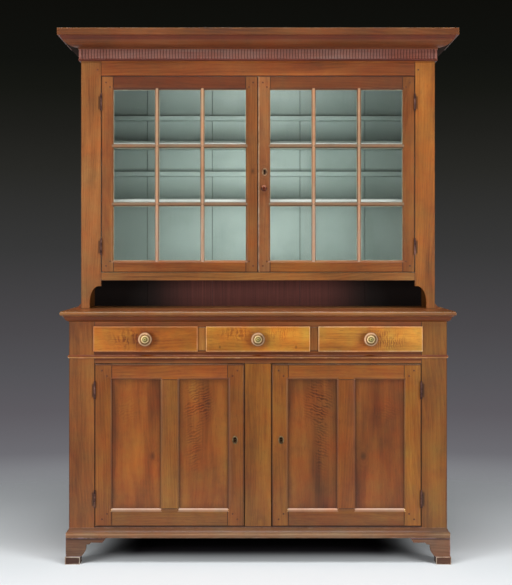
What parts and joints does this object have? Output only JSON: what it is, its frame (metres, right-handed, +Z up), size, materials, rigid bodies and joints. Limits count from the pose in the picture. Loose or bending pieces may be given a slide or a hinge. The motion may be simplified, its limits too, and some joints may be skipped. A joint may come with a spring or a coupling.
{
  "type": "step back cupboard",
  "caption": "Two-part step back cupboard: a base with drawers over panelled doors, and a shallower glazed case with shelves on shaped feet over an open shelf.",
  "frame": {"origin": "middle of the floor area that the whole piece covers", "axes": "+Z up, +X to the right as seen from the front, +Y from the front to the back"},
  "size_m": [1.676, 0.5404, 2.205],
  "materials": {
    "finished_wood": "old red-brown finish with a satin sheen",
    "painted_wood": "grey-green milk paint",
    "secondary_wood": "bare planed boards",
    "glass": "clear window glass",
    "brass": "worn and polished",
    "iron": "dark and dull",
    "turned_wood": "dark and polished by use"
  },
  "bodies": {
    "case": {"base_backboards": "secondary_wood", "base_molding": "finished_wood", "base_rails": "finished_wood", "base_shelves": "secondary_wood", "base_sides": "finished_wood", "base_stiles": "finished_wood", "bracket_feet": "finished_wood", "case_hinge_leaves": "iron", "counter_molding": "finished_wood", "countertop": "finished_wood", "crown_molding": "finished_wood", "drawer_dividers": "finished_wood", "drawer_runners": "secondary_wood", "fluted_frieze": "finished_wood", "foot_pads": "finished_wood", "hinge_pins": "iron", "seat_molding": "finished_wood", "upper_backboards": "painted_wood", "upper_bottom_board": "painted_wood", "upper_rails": "finished_wood", "upper_shelves": "painted_wood", "upper_sides": "finished_wood", "upper_stiles": "finished_wood", "upper_top_board": "secondary_wood", "waist_bead": "finished_wood"},
    "upper_left_door": {"upper_left_door_glazing_bars": "finished_wood", "upper_left_door_hinge_leaves": "iron", "upper_left_door_panes": "glass", "upper_left_door_rails": "finished_wood", "upper_left_door_stiles": "finished_wood"},
    "upper_right_door": {"upper_right_door_glazing_bars": "finished_wood", "upper_right_door_hinge_leaves": "iron", "upper_right_door_panes": "glass", "upper_right_door_rails": "finished_wood", "upper_right_door_stiles": "finished_wood", "upper_lock": "brass"},
    "upper_latch": {"latch_knob": "turned_wood", "latch_button": "turned_wood"},
    "upper_bolt": {"upper_lock_bolt": "iron"},
    "lower_left_door": {"lower_left_door_hinge_leaves": "iron", "lower_left_door_lock": "brass", "lower_left_door_panels": "finished_wood", "lower_left_door_rails": "finished_wood", "lower_left_door_stiles": "finished_wood"},
    "lower_left_bolt": {"lower_left_lock_bolt": "iron"},
    "lower_right_door": {"lower_right_door_hinge_leaves": "iron", "lower_right_door_lock": "brass", "lower_right_door_panels": "finished_wood", "lower_right_door_rails": "finished_wood", "lower_right_door_stiles": "finished_wood"},
    "lower_right_bolt": {"lower_right_lock_bolt": "iron"},
    "drawer_left": {"drawer_left_front": "finished_wood", "drawer_left_box": "secondary_wood", "drawer_left_knob": "brass"},
    "drawer_center": {"drawer_center_front": "finished_wood", "drawer_center_box": "secondary_wood", "drawer_center_knob": "brass"},
    "drawer_right": {"drawer_right_front": "finished_wood", "drawer_right_box": "secondary_wood", "drawer_right_knob": "brass"}
  },
  "joints": [
    {"name": "upper_left_door_swing", "type": "hinge", "parent": "case", "child": "upper_left_door", "pos_m": [-0.664, -0.03485, 1.6005], "axis": [0, 0, -1], "range_deg": [0, 170]},
    {"name": "upper_right_door_swing", "type": "hinge", "parent": "case", "child": "upper_right_door", "pos_m": [0.664, -0.03485, 1.6005], "axis": [0, 0, 1], "range_deg": [0, 170]},
    {"name": "lower_left_door_swing", "type": "hinge", "parent": "case", "child": "lower_left_door", "pos_m": [-0.665, -0.23485, 0.484], "axis": [0, 0, -1], "range_deg": [0, 170]},
    {"name": "lower_right_door_swing", "type": "hinge", "parent": "case", "child": "lower_right_door", "pos_m": [0.665, -0.23485, 0.484], "axis": [0, 0, 1], "range_deg": [0, 170]},
    {"name": "latch_turn", "type": "hinge", "parent": "upper_right_door", "child": "upper_latch", "pos_m": [0.0255, -0.02985, 1.54], "axis": [0, 1, 0], "range_deg": [0, 90]},
    {"name": "upper_bolt_throw", "type": "slide", "parent": "upper_right_door", "child": "upper_bolt", "axis": [-1, 0, 0], "range_m": [0, 0.011]},
    {"name": "lower_left_bolt_throw", "type": "slide", "parent": "lower_left_door", "child": "lower_left_bolt", "axis": [1, 0, 0], "range_m": [0, 0.011]},
    {"name": "lower_right_bolt_throw", "type": "slide", "parent": "lower_right_door", "child": "lower_right_bolt", "axis": [-1, 0, 0], "range_m": [0, 0.011]},
    {"name": "drawer_left_slide", "type": "slide", "parent": "case", "child": "drawer_left", "axis": [0, -1, 0], "range_m": [0, 0.32]},
    {"name": "drawer_center_slide", "type": "slide", "parent": "case", "child": "drawer_center", "axis": [0, -1, 0], "range_m": [0, 0.32]},
    {"name": "drawer_right_slide", "type": "slide", "parent": "case", "child": "drawer_right", "axis": [0, -1, 0], "range_m": [0, 0.32]}
  ]
}
